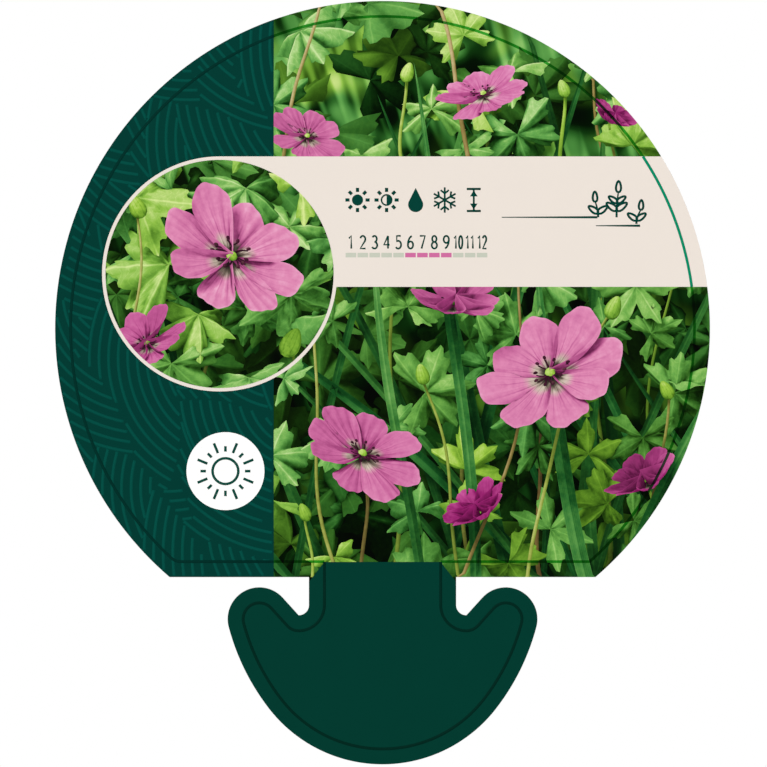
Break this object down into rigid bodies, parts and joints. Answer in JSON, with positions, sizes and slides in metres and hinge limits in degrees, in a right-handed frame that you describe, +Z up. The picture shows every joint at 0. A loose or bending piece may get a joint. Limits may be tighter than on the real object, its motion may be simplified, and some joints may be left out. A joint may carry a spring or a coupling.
{
  "type": "printed plastic plant label",
  "caption": "Round die-cut plastic plant label with a pink-blossom print and a barbed anchor tongue that locks in the slot of a flower pot's rim.",
  "frame": {"origin": "on the back face, in the middle of the neck, level with the straight lower edge of the head, which rests on the pot's rim", "axes": "+Z up along the label from the tongue to the top of the head, +Y out of the unprinted back, printed front towards -Y"},
  "size_m": [0.089, 0.0005, 0.1038],
  "materials": {
    "label_plastic": "white polypropylene sheet, satin",
    "print": "four-colour print under a thin satin varnish"
  },
  "bodies": {
    "root": {"label_sheet": "label_plastic"}
  },
  "joints": []
}
